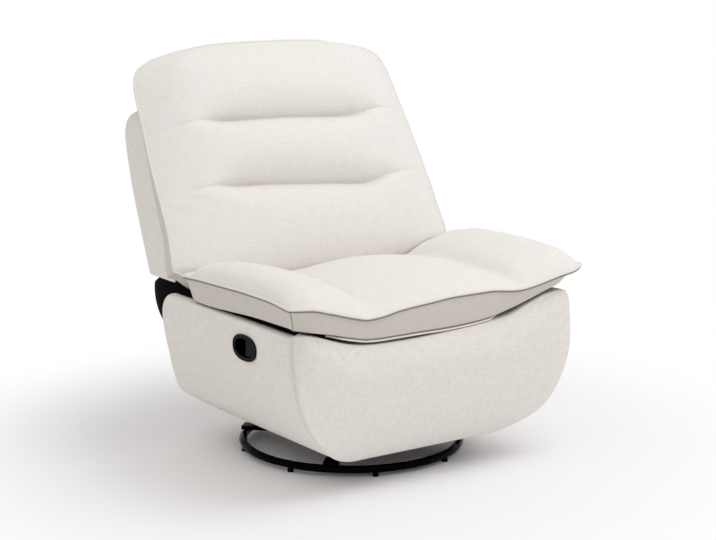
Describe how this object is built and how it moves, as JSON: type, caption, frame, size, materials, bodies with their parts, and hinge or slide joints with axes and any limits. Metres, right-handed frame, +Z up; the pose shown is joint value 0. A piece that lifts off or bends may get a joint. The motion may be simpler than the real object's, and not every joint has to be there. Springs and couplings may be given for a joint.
{
  "type": "swivel rocker recliner",
  "caption": "Upholstered armless-look recliner on a swivelling ring base that rocks, with a channelled reclining back, a winged seat cushion and a fold-out footrest on a side finger-pull.",
  "frame": {"origin": "on the floor under the middle of the closed chair", "axes": "+Z up, -Y the way the sitter faces, +X to the sitter's left"},
  "size_m": [0.8406, 0.8967, 0.9701],
  "materials": {
    "linen": "cream woven linen-look cover over foam",
    "black_steel": "gloss black enamel",
    "zinc_steel": "bright zinc plate",
    "spring_steel": "oiled spring steel",
    "timber": "sanded plywood",
    "black_plastic": "moulded black",
    "black_cloth": "black lining cloth"
  },
  "bodies": {
    "base": {"base_ring": "black_steel", "base_cross": "black_steel", "swivel_lower_race": "zinc_steel", "swivel_balls": "spring_steel", "swivel_bolt": "zinc_steel", "glide_1": "black_plastic", "glide_2": "black_plastic", "glide_3": "black_plastic", "glide_4": "black_plastic", "glide_5": "black_plastic", "glide_6": "black_plastic", "glide_7": "black_plastic", "glide_8": "black_plastic"},
    "turntable": {"swivel_upper_race": "zinc_steel", "swivel_nut": "zinc_steel", "rocker_base": "black_steel", "rock_pivot_rod": "zinc_steel", "rock_spring_1": "spring_steel", "rock_spring_2": "spring_steel", "rock_spring_3": "spring_steel", "rock_spring_4": "spring_steel"},
    "chassis": {"rocker_yoke": "black_steel", "mech_rail_left": "black_steel", "mech_rail_right": "black_steel", "cross_tube": "black_steel", "side_panel_left": "linen", "side_panel_right": "linen", "rear_panel": "linen", "seat_front_rail": "timber", "seat_rear_rail": "timber", "seat_spring_1": "spring_steel", "seat_spring_2": "spring_steel", "seat_spring_3": "spring_steel", "seat_spring_4": "spring_steel", "seat_cushion": "linen", "handle_bezel": "black_plastic", "latch_housing": "black_plastic", "release_cable": "black_plastic"},
    "drive_links": {"drive_link_left": "zinc_steel", "drive_link_right": "zinc_steel", "torque_tube": "zinc_steel"},
    "extension_links": {"extension_link_left": "zinc_steel", "extension_link_right": "zinc_steel"},
    "follower_links": {"follower_link_left": "zinc_steel", "follower_link_right": "zinc_steel"},
    "footrest": {"footrest_bracket_left": "zinc_steel", "footrest_bracket_right": "zinc_steel", "footrest_board": "timber", "footrest_pad": "linen"},
    "backrest": {"back_bracket_left": "black_steel", "back_bracket_right": "black_steel", "back_post_left": "timber", "back_post_right": "timber", "back_rail_top": "timber", "back_rail_low": "timber", "back_shell": "linen", "back_cushion": "linen", "back_skirt": "black_cloth"},
    "release_pull": {"finger_pull": "black_plastic"}
  },
  "joints": [
    {"name": "swivel", "type": "hinge", "parent": "base", "child": "turntable", "pos_m": [0, -0.05, 0.0526], "axis": [0, 0, 1], "continuous": true},
    {"name": "rock", "type": "hinge", "parent": "turntable", "child": "chassis", "pos_m": [0, -0.05, 0.132], "axis": [1, 0, 0], "range_deg": [-5, 5], "stiffness_Nm_per_rad": 1800, "deforming": ["rock_spring_1", "rock_spring_2", "rock_spring_3", "rock_spring_4"]},
    {"name": "footrest_extend", "type": "hinge", "parent": "chassis", "child": "drive_links", "pos_m": [0, -0.197, 0.306], "axis": [-1, 0, 0], "range_deg": [0, 95.1]},
    {"name": "extension_joint", "type": "hinge", "parent": "drive_links", "child": "extension_links", "pos_m": [0, -0.11312, 0.12775], "axis": [1, 0, 0], "range_deg": [0, 153.7]},
    {"name": "follower_joint", "type": "hinge", "parent": "drive_links", "child": "follower_links", "pos_m": [0, -0.1299, 0.16406], "axis": [1, 0, 0], "range_deg": [0, 153.7]},
    {"name": "footrest_joint", "type": "hinge", "parent": "extension_links", "child": "footrest", "pos_m": [0, -0.24795, 0.30032], "axis": [-1, 0, 0], "range_deg": [0, 153.7]},
    {"name": "back_recline", "type": "hinge", "parent": "chassis", "child": "backrest", "pos_m": [0, 0.2, 0.385], "axis": [-1, 0, 0], "range_deg": [0, 35]},
    {"name": "release_pull", "type": "hinge", "parent": "chassis", "child": "release_pull", "pos_m": [-0.3905, -0.2175, 0.334], "axis": [0, 0, 1], "range_deg": [0, 25], "stiffness_Nm_per_rad": 0.4}
  ],
  "couplings": [
    {"joint": "extension_joint", "follows": "footrest_extend", "ratio": 1.6151},
    {"joint": "follower_joint", "follows": "footrest_extend", "ratio": 1.6151},
    {"joint": "footrest_joint", "follows": "footrest_extend", "ratio": 1.6151}
  ]
}
